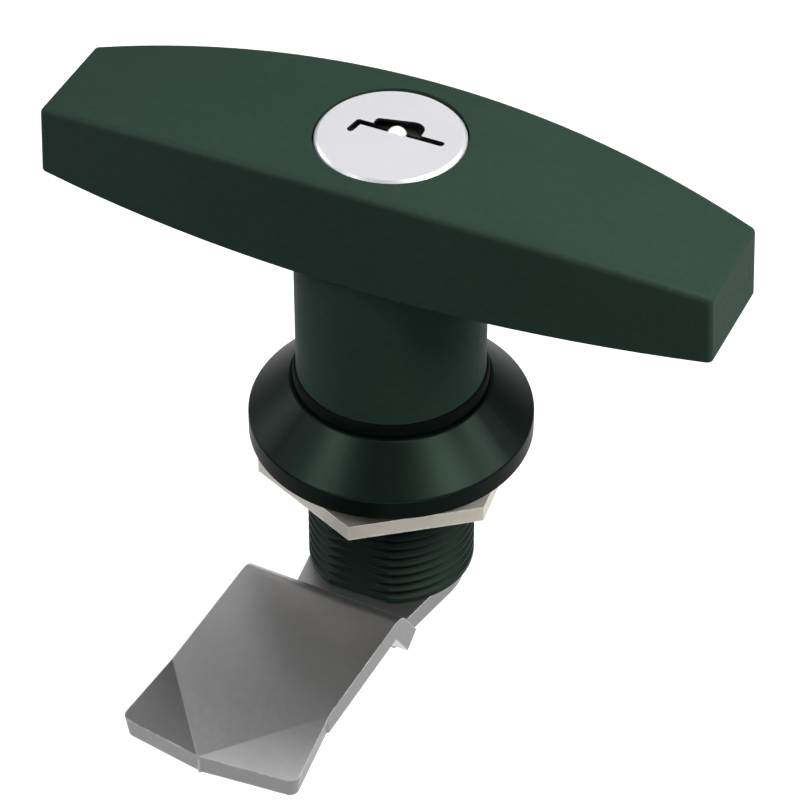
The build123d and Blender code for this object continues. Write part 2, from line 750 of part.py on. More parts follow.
# Key cylinder: the shell is pinned in the handle, and the plug turns in it
wafer_heights = [wafer_top_z - wafer_pitch * place for place in range(wafer_count)]
broach_width = wafer_width + 2 * wafer_room_clearance
broach_reach = plug_radius + shell_broach_depth
broach_top_z = wafer_top_z + wafer_thickness
broach_foot_z = wafer_heights[-1] - 2 * wafer_thickness
with BuildPart() as cylinder_shell:
    with BuildSketch(Plane.XY.offset(shell_foot_z)):
        Circle(shell_radius)
        Circle(plug_bore_radius, mode=Mode.SUBTRACT)
    extrude(amount=shell_length)
    with BuildSketch(Plane.XY.offset(shell_foot_z)):
        Circle(shell_recess_diameter / 2)
    extrude(amount=shell_recess_depth, mode=Mode.SUBTRACT)
    with BuildSketch(Plane.XY.offset(broach_foot_z)):
        Rectangle(2 * broach_reach, broach_width)
        Rectangle(broach_width, 2 * broach_reach)
    extrude(amount=broach_top_z - broach_foot_z, mode=Mode.SUBTRACT)
    with BuildSketch(Plane.XZ.offset(retaining_pin_reach + press_clearance)):
        with Locations((retaining_pin_x, retaining_pin_height)):
            Circle(retaining_pin_diameter / 2 + press_clearance)
    extrude(amount=-2 * shell_radius, mode=Mode.SUBTRACT)
cylinder_shell.part.label = "cylinder_shell"
export_step(cylinder_shell.part, "parts/cylinder_shell.step")

with BuildPart() as retaining_pin:
    bar_sag = (bar_mid_width - bar_end_width) / 2 * (retaining_pin_x / bar_foot_half) ** 2
    pin_end = bar_mid_width / 2 - bar_sag - retaining_pin_recess
    with BuildSketch(Plane.XZ.offset(retaining_pin_reach)):
        with Locations((retaining_pin_x, retaining_pin_height)):
            Circle(retaining_pin_diameter / 2 - press_clearance)
    extrude(amount=-(retaining_pin_reach + pin_end))
    chamfer(retaining_pin.edges().filter_by(GeomType.CIRCLE), retaining_pin_recess)
retaining_pin.part.label = "retaining_pin"
export_step(retaining_pin.part, "parts/retaining_pin.step")

pocket_half = plug_radius - wafer_width / 2
with BuildPart() as key_plug:
    with BuildSketch(Plane.XY.offset(plug_foot_z)):
        Circle(plug_radius)
    extrude(amount=cap_foot_z - plug_foot_z)
    # Room for the dust shutter, with the keyway below it
    with BuildSketch(Plane.XY.offset(cap_foot_z)):
        Rectangle(shutter_room_length, shutter_room_width)
    extrude(amount=-shutter_room, mode=Mode.SUBTRACT)
    keyway_foot_z = wafer_heights[-1] - wafer_pitch
    with BuildSketch(Plane.XY.offset(keyway_foot_z)):
        Rectangle(keyway_length, keyway_width)
    extrude(amount=cap_foot_z - keyway_foot_z, mode=Mode.SUBTRACT)
    shutter_pin_z = shutter_top_z - shutter_knuckle_diameter / 2
    shutter_pin_y = running_gap - (shutter_room_width - shutter_knuckle_diameter) / 2
    with BuildSketch(Plane.YZ):
        with Locations((shutter_pin_y, shutter_pin_z)):
            Circle(shutter_pin_diameter / 2 + press_clearance)
    extrude(amount=plug_radius, both=True, mode=Mode.SUBTRACT)
    # A cross slot for each wafer, with a pocket at its side for the lug and its spring
    for height in wafer_heights:
        with BuildSketch(Plane.XY.offset(height + wafer_clearance)):
            Rectangle(2 * plug_radius, wafer_width + 2 * wafer_clearance)
        extrude(amount=-(wafer_thickness + 2 * wafer_clearance), mode=Mode.SUBTRACT)
        pocket_middle = height - wafer_thickness / 2
        pocket_height = wafer_spring_diameter + 2 * wafer_clearance
        with BuildSketch(Plane.XZ.offset(wafer_width / 2)):
            with Locations((0, pocket_middle)):
                Rectangle(2 * pocket_half, pocket_height)
        extrude(amount=wafer_lug_width + wafer_clearance, mode=Mode.SUBTRACT)
    # Groove for the clip and a cross slot for the driver's tongue
    with BuildSketch(Plane.XY.offset(clip_top_z + running_gap)):
        Circle(plug_diameter)
        Circle(plug_radius - clip_groove_depth, mode=Mode.SUBTRACT)
    extrude(amount=-(clip_thickness + 2 * running_gap), mode=Mode.SUBTRACT)
    with BuildSketch(Plane.XY.offset(plug_foot_z)):
        Rectangle(2 * plug_radius, driver_tongue_width + 2 * press_clearance)
    extrude(amount=driver_tongue_height + press_clearance, mode=Mode.SUBTRACT)
key_plug.part.label = "key_plug"
export_step(key_plug.part, "parts/key_plug.step")

with BuildPart() as plug_cap:
    with BuildSketch(Plane.XY.offset(cap_foot_z)):
        Circle(cap_diameter / 2)
    extrude(amount=cap_thickness)
    chamfer(plug_cap.faces().sort_by(Axis.Z)[-1].edges(), cap_bevel)
    # Key slot: a lopsided hump, a straight arm at its right and a hooked one at its left
    with BuildSketch(Plane.XY.offset(cap_foot_z)) as slot:
        with BuildLine():
            Polyline(
                (-key_hump_half_width, 0),
                (-key_hump_half_width, key_hump_left_height),
                (key_hump_half_width, key_hump_right_height),
                (key_hump_half_width, 0),
                close=True,
            )
        make_face()
        for side, height, rounding in (
            (-1, key_hump_left_height, key_hump_left_round),
            (1, key_hump_right_height, key_hump_right_round),
        ):
            corner = (side * key_hump_half_width, height, 0)
            fillet(slot.vertices().sort_by_distance(corner)[0], rounding)
        arm_end = Vector(key_slot_right, key_slot_offset)
        arm_kink = Vector(-key_slot_left, key_slot_offset)
        hook_end = arm_kink - Vector(key_hook_shift, key_hook_drop)
        for start, end in ((arm_end, arm_kink), (arm_kink, hook_end)):
            SlotCenterPoint((start + end) / 2, end, key_slot_width)
    extrude(amount=cap_thickness, mode=Mode.SUBTRACT)
    # The face is thin over the slot, with room behind it for the shutter's dome
    with BuildSketch(Plane.XY.offset(cap_foot_z)):
        with Locations((0, (cap_room_back - cap_room_front) / 2)):
            Rectangle(cap_room_length, cap_room_back + cap_room_front)
        with Locations((arm_end + hook_end) / 2):
            Rectangle(cap_arm_room_length, cap_arm_room_width)
    extrude(amount=cap_thickness - cap_face_thickness, mode=Mode.SUBTRACT)
plug_cap.part.label = "plug_cap"
export_step(plug_cap.part, "parts/plug_cap.step")

# Dust shutter: a sprung flap that shuts the keyway under the cap's slot
with BuildPart() as dust_shutter:
    with BuildSketch(Plane.XY.offset(shutter_top_z)):
        with Locations((0, shutter_pin_y + shutter_reach / 2)):
            Rectangle(shutter_length, shutter_reach)
        with Locations((-shutter_length / 2, shutter_pin_y)):
            Rectangle(2 * shutter_spring_room, shutter_knuckle_diameter + shutter_gap, mode=Mode.SUBTRACT)
    extrude(amount=-shutter_thickness)
    with BuildSketch(Plane.YZ.offset(-shutter_length / 2 + shutter_spring_room)):
        with Locations((shutter_pin_y, shutter_pin_z)):
            Circle(shutter_knuckle_diameter / 2)
    extrude(amount=shutter_length - shutter_spring_room)
    with Locations((shutter_dome_shift, shutter_dome_offset, shutter_top_z - shutter_dome_sink)):
        Sphere(shutter_dome_radius, arc_size1=0, align=(Align.CENTER, Align.CENTER, Align.MIN))
    with BuildSketch(Plane.YZ.offset(-shutter_length / 2)):
        with Locations((shutter_pin_y, shutter_pin_z)):
            Circle(shutter_pin_diameter / 2 + bearing_clearance)
    extrude(amount=shutter_length, mode=Mode.SUBTRACT)
dust_shutter.part.label = "dust_shutter"
export_step(dust_shutter.part, "parts/dust_shutter.step")

with BuildPart() as shutter_pin:
    pin_edge = shutter_pin_diameter / 2 - shutter_pin_y
    pin_half = sqrt(plug_radius**2 - pin_edge**2) - shutter_gap
    with BuildSketch(Plane.YZ.offset(-pin_half)):
        with Locations((shutter_pin_y, shutter_pin_z)):
            Circle(shutter_pin_diameter / 2)
    extrude(amount=2 * pin_half)
shutter_pin.part.label = "shutter_pin"
export_step(shutter_pin.part, "parts/shutter_pin.step")

shutter_coil = coil_spring(
    Vector(-shutter_length / 2, shutter_pin_y, shutter_pin_z),
    (shutter_spring_diameter - shutter_spring_wire) / 2,
    shutter_spring_wire,
    shutter_spring_room - shutter_gap,
    shutter_spring_turns,
)
with BuildPart() as shutter_spring:
    add(shutter_coil)
shutter_spring.part.label = "shutter_spring"
export_step(shutter_spring.part, "parts/shutter_spring.step")

# Wafers lie flush with the plug, as a key lifts them, and each has its own spring
with BuildPart() as wafers:
    for height in wafer_heights:
        with BuildSketch(Plane.XY.offset(height)):
            Rectangle(2 * plug_radius, wafer_width)
            Circle(plug_radius - wafer_clearance, mode=Mode.INTERSECT)
            with Locations((wafer_lug_offset + wafer_lug_length / 2, -(wafer_width + wafer_lug_width) / 2)):
                Rectangle(wafer_lug_length, wafer_lug_width)
            Rectangle(keyway_length - 2 * wafer_travel, keyway_width, mode=Mode.SUBTRACT)
        extrude(amount=-wafer_thickness)
wafers.part.label = "wafers"
export_step(wafers.part, "parts/wafers.step")

wafer_coil = coil_spring(
    Vector(-pocket_half, -(wafer_width + wafer_lug_width) / 2, wafer_heights[0] - wafer_thickness / 2),
    (wafer_spring_diameter - wafer_spring_wire) / 2,
    wafer_spring_wire,
    wafer_lug_offset + pocket_half,
    wafer_spring_turns,
)
with BuildPart() as wafer_springs:
    for place in range(wafer_count):
        add(Pos(0, 0, -wafer_pitch * place) * wafer_coil)
wafer_springs.part.label = "wafer_springs"
export_step(wafer_springs.part, "parts/wafer_springs.step")

with BuildPart() as plug_clip:
    with BuildSketch(Plane.XY.offset(clip_top_z)):
        Circle(clip_diameter / 2)
        Circle(plug_radius - clip_groove_depth + press_clearance, mode=Mode.SUBTRACT)
        with Locations((0, clip_diameter / 2)):
            Rectangle(2 * (plug_radius - clip_groove_depth), clip_diameter, mode=Mode.SUBTRACT)
    extrude(amount=-clip_thickness)
plug_clip.part.label = "plug_clip"
export_step(plug_clip.part, "parts/plug_clip.step")

# Driver: a tongue in the plug, a rod, and a crank pin that works the bolt
with BuildPart() as plug_driver:
    with BuildSketch(Plane.XY.offset(disc_top_z)):
        Circle(driver_rod_diameter / 2)
    extrude(amount=plug_foot_z - disc_top_z)
    with BuildSketch(Plane.XY.offset(plug_foot_z)):
        Rectangle(driver_tongue_length, driver_tongue_width)
    extrude(amount=driver_tongue_height)
    with BuildSketch(Plane.XY.offset(disc_foot_z)):
        Circle(driver_disc_diameter / 2)
    extrude(amount=driver_disc_thickness)
    with BuildSketch(Plane.XY.offset(disc_foot_z)):
        with Locations((crank_throw, 0)):
            Circle(crank_pin_diameter / 2)
    extrude(amount=-(disc_foot_z - bolt_floor - 2 * bolt_clearance))
plug_driver.part.label = "plug_driver"
export_step(plug_driver.part, "parts/plug_driver.step")

with BuildPart() as lock_bolt:
    fork_half = crank_pin_diameter / 2 + crank_play
    bolt_back = fork_half + bolt_wall
    nose_tip = sqrt(neck_radius**2 - (bolt_nose_width / 2) ** 2) - bolt_clearance
    bolt_shoulder = nose_tip - bolt_nose_length
    with BuildSketch(Plane.XY.offset(bolt_floor + bolt_clearance)):
        with Locations((0, (bolt_shoulder - bolt_back) / 2)):
            Rectangle(bolt_width, bolt_shoulder + bolt_back)
        with Locations((0, nose_tip / 2)):
            Rectangle(bolt_nose_width, nose_tip)
        fork_inner = crank_pin_diameter / 2 + bolt_clearance
        with Locations(((bolt_width - fork_inner) / 2, 0)):
            Rectangle(bolt_width + fork_inner, 2 * fork_half, mode=Mode.SUBTRACT)
    extrude(amount=bolt_height)
lock_bolt.part.label = "lock_bolt"
export_step(lock_bolt.part, "parts/lock_bolt.step")
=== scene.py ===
import json
from math import cos, radians, sin

import bpy
from mathutils import Matrix, Vector


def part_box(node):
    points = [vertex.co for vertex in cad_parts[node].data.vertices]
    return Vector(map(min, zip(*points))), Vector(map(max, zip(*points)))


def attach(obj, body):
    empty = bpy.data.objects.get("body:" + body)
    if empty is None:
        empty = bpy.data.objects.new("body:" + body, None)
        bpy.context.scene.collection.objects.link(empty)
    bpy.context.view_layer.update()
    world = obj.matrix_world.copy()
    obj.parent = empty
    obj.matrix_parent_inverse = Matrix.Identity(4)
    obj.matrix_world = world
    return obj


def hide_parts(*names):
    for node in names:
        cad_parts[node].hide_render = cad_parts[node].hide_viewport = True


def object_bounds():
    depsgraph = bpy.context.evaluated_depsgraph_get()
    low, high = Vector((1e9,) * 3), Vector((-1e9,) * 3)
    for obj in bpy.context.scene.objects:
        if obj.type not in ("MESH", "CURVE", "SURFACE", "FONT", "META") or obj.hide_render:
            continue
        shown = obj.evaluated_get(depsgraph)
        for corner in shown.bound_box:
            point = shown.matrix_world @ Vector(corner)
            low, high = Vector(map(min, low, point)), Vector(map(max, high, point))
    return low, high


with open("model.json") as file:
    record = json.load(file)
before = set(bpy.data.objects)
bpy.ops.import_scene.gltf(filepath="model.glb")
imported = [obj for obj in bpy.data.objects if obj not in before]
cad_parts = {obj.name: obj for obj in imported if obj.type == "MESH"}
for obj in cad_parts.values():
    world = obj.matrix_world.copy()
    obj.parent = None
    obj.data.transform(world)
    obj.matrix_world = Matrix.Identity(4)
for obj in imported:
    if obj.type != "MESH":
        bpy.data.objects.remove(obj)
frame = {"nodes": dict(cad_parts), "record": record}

cad_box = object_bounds()
nodes = frame["nodes"]

# Camera, as the photograph was taken. Lengths are in metres, angles in degrees.
camera_azimuth = 24.58
camera_elevation = 41.22
camera_distance = 0.4529
camera_aim_height = 0.02983
camera_step_right = 0.00113
camera_step_down = 0.01962
camera_lens = 164.28
camera_sensor = 36.0
camera_near = 0.01

# Floor and lights
floor_gap = 0.012
floor_size = 8.0
floor_pale = (0.36, 0.36, 0.36, 1)
floor_lift = 0.78
light_distance = 0.9
near_light_distance = 0.30
white = (1.0, 1.0, 1.0)
warm_white = (1.0, 0.95, 0.80)

# Room: the heights where its walls turn into its ceiling, how it dims behind the camera, and its tones
room_rise_from = 0.20
room_rise_to = 0.60
room_dim_from = 0.45
room_dim_to = 0.90
room_wall = (0.35, 0.35, 0.355, 1)
room_ceiling = (0.92, 0.92, 0.925, 1)
room_dim = (0.10, 0.10, 0.105, 1)
room_fill_low = (0.12, 0.12, 0.125, 1)
room_fill_high = (0.30, 0.30, 0.31, 1)

# Colours of the finishes
coat_sheen = (0.58, 1.0, 0.78, 1)
handle_green = (0.0195, 0.0370, 0.0300, 1)
# Edge colours: wear, and a painted highlight on every sharp edge
handle_edge = (0.028, 0.047, 0.039, 1)
housing_green = (0.0018, 0.0038, 0.0036, 1)
housing_edge = (0.006, 0.011, 0.009, 1)
thread_green = (0.011, 0.019, 0.016, 1)
seal_black = (0.0020, 0.0030, 0.0032, 1)
bearing_cream = (0.70, 0.68, 0.60, 1)
nut_silver = (0.70, 0.67, 0.60, 1)
cam_grey = (0.44, 0.44, 0.455, 1)
fixing_grey = (0.50, 0.50, 0.48, 1)
turned_grey = (0.50, 0.50, 0.49, 1)
pin_grey = (0.50, 0.50, 0.50, 1)
spring_grey = (0.28, 0.28, 0.29, 1)
ball_silver = (0.70, 0.70, 0.70, 1)
die_cast_grey = (0.16, 0.16, 0.16, 1)
cap_silver = (0.455, 0.465, 0.51, 1)
dome_silver = (0.90, 0.90, 0.90, 1)
# Painted shade for the key slot's walls and for the flap inside the slot
painted_slot_shade = (0.012, 0.014, 0.015, 1)
wafer_gold = (0.60, 0.44, 0.20, 1)

# How a drawn, rolled or turned grain is stretched along each axis
even = (1, 1, 1)
along_arm = (1, 0.4, 1)
around_axis = (1, 1, 0.04)

# The values that a noise mostly stays between, and how much finer the second of two grains is
noise_low = 0.3
noise_high = 0.7
finer_lines = 2.7

# Wear on edges, which also paints a highlight on every sharp edge: its width, where an edge starts and is
# full, its chips, and how much brighter metal gets
edge_wear_and_highlight_width = 0.0005
edge_start = 0.995
edge_full = 0.80
chip_size = 1 / 900
chip_from = 0.35
chip_to = 0.60
wear_and_highlight_gain = 1.5

# Shine of a coat: full where it faces the viewer, down to a share where it slants away
shine_slant_from = 0.09
shine_slant_to = 0.25
slant_shine_share = 1 / 8

# How far a face looks up, for the painted shade on upright sides, the painted light on the folded corners
# of upper faces and the painted shade on the slot's walls
side_full = 0.15
side_end = 0.45
top_from = 0.85
top_full = 0.95
wall_from = 0.80
wall_full = 0.30

# Heights between which the housing's coat turns into the lighter colour of its thread
thread_coat_top = -0.0005
thread_coat_full = -0.003

# Key slot in the cap's face: the box that holds its edges, how far they move, and where the painted shade
# on its walls ends
slot_floor = 0.0459
slot_half_length = 0.0065
slot_front = -0.0022
slot_back = 0.0038
slot_shift = (0.00025, 0.0005, 0)
slot_reach = 0.0080
slot_reach_end = 0.0085

# Dome of the flap: it stands above this height, and moves by this much. Below the height the flap gets
# painted shade
flap_top = 0.04485
flap_top_blend = 0.0002
dome_shift = (0.0005, 0.0004, 0.00045)

# Folds of the cam's tip, from one end of each to the other, with the painted light of the corner outside
# it: painted shade on the left corner, a painted highlight on the right one
fold_middle = (-0.00218, -0.05195, 0)
fold_left_painted_shade = ((-0.01271, -0.03820, 0), fold_middle, 0.40)
fold_right_painted_highlight = (fold_middle, (0.00947, -0.03913, 0), 1.12)
fold_blend = 0.0002
fold_face_area = 0.00001
fold_angle = radians(2)

# Nut: flat, without the solid's chamfer, and its upper face nut_top_drop lower than the solid's
nut_across_flats = 0.0305
nut_turn = radians(6.7)
nut_bore = 0.01104
nut_top_drop = 0.0009
blank_sides = 144

# Widths asked for the rounds on edges. The overlap clamp leaves under 0.015 mm of each on these meshes
nut_round = 0.00015
cam_round = 0.00025
cap_round = 0.00012
flap_round = 0.00005
sharp_angle = radians(28)
smooth_angle = radians(30)
flat_angle = radians(0.5)
merge_gap = 0.000002


# Camera and lights
def direction(azimuth, elevation):
    """A unit vector from the object: azimuth 0 is -Y, where the camera's own angle counts from."""
    a, e = radians(azimuth), radians(elevation)
    return Vector((sin(a) * cos(e), -cos(a) * cos(e), sin(e)))


def add_camera():
    """The camera stands back along its angle, and a step aside and down from that line."""
    back = direction(camera_azimuth, camera_elevation)
    right = Vector((cos(radians(camera_azimuth)), sin(radians(camera_azimuth)), 0))
    up = back.cross(right)
    data = bpy.data.cameras.new("camera")
    data.lens = camera_lens
    data.sensor_width = camera_sensor
    data.clip_start = camera_near
    camera = bpy.data.objects.new("camera", data)
    bpy.context.scene.collection.objects.link(camera)
    turn = Matrix((right, up, back)).transposed().to_4x4()
    place = Vector((0, 0, camera_aim_height)) + back * camera_distance
    place += right * camera_step_right - up * camera_step_down
    camera.matrix_world = Matrix.Translation(place) @ turn
    bpy.context.scene.camera = camera


def softbox(name, azimuth, elevation, size, watts, distance=light_distance, colour=white):
    """A square lamp that faces the object's middle."""
    data = bpy.data.lights.new(name, "AREA")
    data.shape = "SQUARE"
    data.size = size
    data.energy = watts
    data.color = colour
    lamp = bpy.data.objects.new(name, data)
    bpy.context.scene.collection.objects.link(lamp)
    away = direction(azimuth, elevation)
    lamp.location = away * distance + Vector((0, 0, camera_aim_height))
    lamp.rotation_euler = away.to_track_quat("Z", "Y").to_euler()


# Shader nodes
def feed(tree, sockets, values):
    """Joins each socket to the one given for it, or sets its value."""
    for name, value in values.items():
        if isinstance(value, bpy.types.NodeSocket):
            tree.links.new(value, sockets[name])
        else:
            sockets[name].default_value = value


class Nodes:
    """Short calls to place and join the nodes of one material, world or group."""

    def __init__(self, tree):
        self.tree = tree
        tree.nodes.clear()

    def new(self, kind, inputs=None, **settings):
        node = self.tree.nodes.new("ShaderNode" + kind)
        for name, value in settings.items():
            setattr(node, name, value)
        feed(self.tree, node.inputs, inputs or {})
        return node

    def use(self, effect, inputs):
        """One of the shared effects."""
        return self.new("Group", inputs, node_tree=effect).outputs

    def math(self, operation, first, second=0.0):
        return self.new("Math", {0: first, 1: second}, operation=operation).outputs[0]

    def dot(self, first, second):
        node = self.new("VectorMath", {0: first, 1: second}, operation="DOT_PRODUCT")
        return node.outputs["Value"]

    def parts(self, vector):
        return self.new("SeparateXYZ", {"Vector": vector}).outputs

    def mix(self, share, first, second, blend="MIX"):
        node = self.new("Mix", {"Factor": share}, data_type="RGBA", blend_type=blend)
        feed(self.tree, node.inputs, {6: first, 7: second})
        return node.outputs[2]

    def scale(self, value, low, high, to_low=0.0, to_high=1.0):
        """A value between low and high, moved to its place between two other ends."""
        ends = {"From Min": low, "From Max": high, "To Min": to_low, "To Max": to_high}
        return self.new("MapRange", {"Value": value, **ends}).outputs[0]

    def between(self, share, first, second):
        """The first value at share 0, the second at 1."""
        return self.scale(share, 0.0, 1.0, first, second)

    def vary(self, noise, middle, swing):
        """A value that follows a noise to both sides of a middle."""
        return self.scale(noise, noise_low, noise_high, middle - swing, middle + swing)

    def tint(self, colour, tone):
        """A colour times a value that changes over the surface."""
        grey = self.new("CombineColor", {0: tone, 1: tone, 2: tone}).outputs[0]
        return self.mix(1.0, colour, grey, "MULTIPLY")

    def bump(self, height, distance):
        return self.new("Bump", {"Height": height, "Distance": distance}).outputs[0]

    def seen_sharp(self):
        """1 for what the camera, gloss or glass sees, 0 for the light that falls on things."""
        path = self.new("LightPath").outputs
        sharp = self.math("MAXIMUM", path["Is Camera Ray"], path["Is Glossy Ray"])
        return self.math("MAXIMUM", sharp, path["Is Transmission Ray"])


# Room and floor
def add_world():
    """A pale room: grey walls, a bright ceiling, and dim behind the camera."""
    world = bpy.data.worlds.new("pale_room")
    bpy.context.scene.world = world
    world.use_nodes = True
    n = Nodes(world.node_tree)
    way = n.new("TexCoord").outputs["Generated"]
    rise = n.scale(n.parts(way)["Z"], room_rise_from, room_rise_to)
    facing = n.dot(way, tuple(direction(camera_azimuth, camera_elevation)))
    dim = n.scale(facing, room_dim_from, room_dim_to)
    seen = n.mix(dim, n.mix(rise, room_wall, room_ceiling), room_dim)
    fill = n.mix(rise, room_fill_low, room_fill_high)
    light = n.new("Background", {"Color": n.mix(n.seen_sharp(), fill, seen), "Strength": 1.0})
    n.new("OutputWorld", {"Surface": light.outputs[0]})


def add_floor():
    """A pale floor that the camera and gloss see as white, and that keeps the object's shadow."""
    bpy.ops.object.select_all(action="DESELECT")
    lowest = cad_box[0][2] - floor_gap
    bpy.ops.mesh.primitive_plane_add(size=floor_size, location=(0, 0, lowest))
    floor = bpy.context.object
    floor.name = "floor"
    bpy.ops.object.transform_apply(location=True)
    material = bpy.data.materials.new("pale_floor")
    material.use_nodes = True
    n = Nodes(material.node_tree)
    diffuse = n.new("BsdfDiffuse", {"Color": floor_pale})
    lift = n.math("MULTIPLY", n.seen_sharp(), floor_lift)
    glow = n.new("Emission", {"Color": (1, 1, 1, 1), "Strength": lift})
    both = n.new("AddShader", {0: diffuse.outputs[0], 1: glow.outputs[0]})
    n.new("OutputMaterial", {"Surface": both.outputs[0]})
    floor.data.materials.append(material)


# Effects that several finishes share
def group(name, inputs, outputs):
    """An empty shader node group, with what comes in and goes out of it."""
    tree = bpy.data.node_groups.new(name, "ShaderNodeTree")
    for socket, kind in inputs.items():
        tree.interface.new_socket(name=socket, in_out="INPUT", socket_type="NodeSocket" + kind)
    for socket in outputs:
        tree.interface.new_socket(name=socket, in_out="OUTPUT", socket_type="NodeSocketFloat")
    n = Nodes(tree)
    start = tree.nodes.new("NodeGroupInput")
    end = tree.nodes.new("NodeGroupOutput")
    return tree, n, start.outputs, end.inputs


def make_mottle():
    """Uneven tone: a broad cloud and a fine speckle, as one value round 1."""
    inputs = {"Vector": "Vector", "Broad Size": "Float", "Fine Size": "Float", "Depth": "Float"}
    tree, n, given, out = group("mottle", inputs, ["Tone", "Speckle"])
    spot = given["Vector"]
    broad_scale = n.math("DIVIDE", 1.0, given["Broad Size"])
    fine_scale = n.math("DIVIDE", 1.0, given["Fine Size"])
    broad = n.new("TexNoise", {"Vector": spot, "Scale": broad_scale, "Detail": 3.0})
    fine = n.new("TexNoise", {"Vector": spot, "Scale": fine_scale, "Detail": 2.0})
    total = n.math("ADD", broad.outputs["Fac"], fine.outputs["Fac"])
    swing = n.math("MULTIPLY", n.math("SUBTRACT", total, 1.0), given["Depth"])
    feed(tree, out, {"Tone": n.math("ADD", swing, 1.0), "Speckle": fine.outputs["Fac"]})
    return tree


def make_edge_mask():
    """1 on sharp outer edges, 0 on flat faces, broken up by a fine noise. The lighter edge colour it
    brings in is wear and a painted edge highlight.
    """
    inputs = {"Vector": "Vector", "Width": "Float", "Amount": "Float"}
    tree, n, given, out = group("edge_mask", inputs, ["Mask"])
    rounded = n.new("Bevel", {"Radius": given["Width"]}, samples=6).outputs[0]
    facing = n.new("NewGeometry").outputs["Normal"]
    edge = n.scale(n.dot(rounded, facing), edge_start, edge_full)
    noise = n.new("TexNoise", {"Vector": given["Vector"], "Scale": 1 / chip_size, "Detail": 3.0})
    broken = n.scale(noise.outputs["Fac"], chip_from, chip_to)
    mask = n.math("MULTIPLY", n.math("MULTIPLY", edge, broken), given["Amount"])
    feed(tree, out, {"Mask": mask})
    return tree


def make_drawn_lines():
    """A coarse and a finer grain, which a stretched place turns into drawn or turned lines."""
    inputs = {"Vector": "Vector", "Line Size": "Float"}
    tree, n, given, out = group("drawn_lines", inputs, ["Lines"])
    spot = given["Vector"]
    scale = n.math("DIVIDE", 1.0, given["Line Size"])
    finer_scale = n.math("MULTIPLY", scale, finer_lines)
    coarse = n.new("TexNoise", {"Vector": spot, "Scale": scale, "Detail": 4.0})
    finer = n.new("TexNoise", {"Vector": spot, "Scale": finer_scale, "Detail": 2.0})
    total = n.math("ADD", coarse.outputs["Fac"], finer.outputs["Fac"])
    feed(tree, out, {"Lines": n.math("MULTIPLY", total, 0.5)})
    return tree


mottle = make_mottle()
edge_mask = make_edge_mask()
drawn_lines = make_drawn_lines()


# Finishes
finishes = {}


def new_finish(name):
    """A finish's empty nodes, and the place on the piece that its patterns follow."""
    material = bpy.data.materials.new(name)
    material.use_nodes = True
    finishes[name] = material
    n = Nodes(material.node_tree)
    return n, n.new("TexCoord").outputs["Object"]


def surface(n, inputs):
    """Ends a finish with its shader."""
    shader = n.new("BsdfPrincipled", inputs)
    n.new("OutputMaterial", {"Surface": shader.outputs[0]})


def coat(
    name, colour, low_colour, edge_colour,
    roughness, gloss_swing, grain_size, grain_depth, tone_depth, shine,
):
    """Powder coat on a casting: fine orange peel, uneven tone, lighter edges that are wear and a painted
    edge highlight, and a lighter colour on the thread.
    """
    n, spot = new_finish(name)
    tone = n.use(mottle, {"Vector": spot, "Broad Size": 0.016, "Fine Size": 0.0009, "Depth": tone_depth})
    edge = n.use(edge_mask, {"Vector": spot, "Width": edge_wear_and_highlight_width, "Amount": 0.55})
    low = n.scale(n.parts(spot)["Z"], thread_coat_top, thread_coat_full)
    ground = n.tint(n.mix(low, colour, low_colour), tone["Tone"])
    grain = n.new("TexNoise", {"Vector": spot, "Scale": 1 / grain_size, "Detail": 2.0})
    slant = n.new("LayerWeight", {"Blend": 0.5}).outputs["Facing"]
    slanted_shine = shine * slant_shine_share
    surface(n, {
        "Base Color": n.mix(edge["Mask"], ground, edge_colour),
        "Roughness": n.vary(tone["Speckle"], roughness, gloss_swing),
        "Specular IOR Level": n.scale(slant, shine_slant_from, shine_slant_to, shine, slanted_shine),
        "Specular Tint": coat_sheen,
        "Normal": n.bump(grain.outputs["Fac"], grain_depth),
    })


def painted_fold_light(n, spot, up, painted_folds):
    """Painted light outside each fold line on upper faces: a factor that darkens or lightens that corner,
    and 1 elsewhere.
    """
    tone = 1.0
    for start, end, painted_light_there in painted_folds:
        along = Vector(end) - Vector(start)
        across = Vector((along.y, -along.x, 0)).normalized()
        line = across.dot(Vector(start))
        beyond = n.scale(n.dot(spot, across), line, line + fold_blend)
        corner = n.math("MULTIPLY", beyond, n.scale(up, top_from, top_full))
        tone = n.math("MULTIPLY", tone, n.between(corner, 1.0, painted_light_there))
    return tone


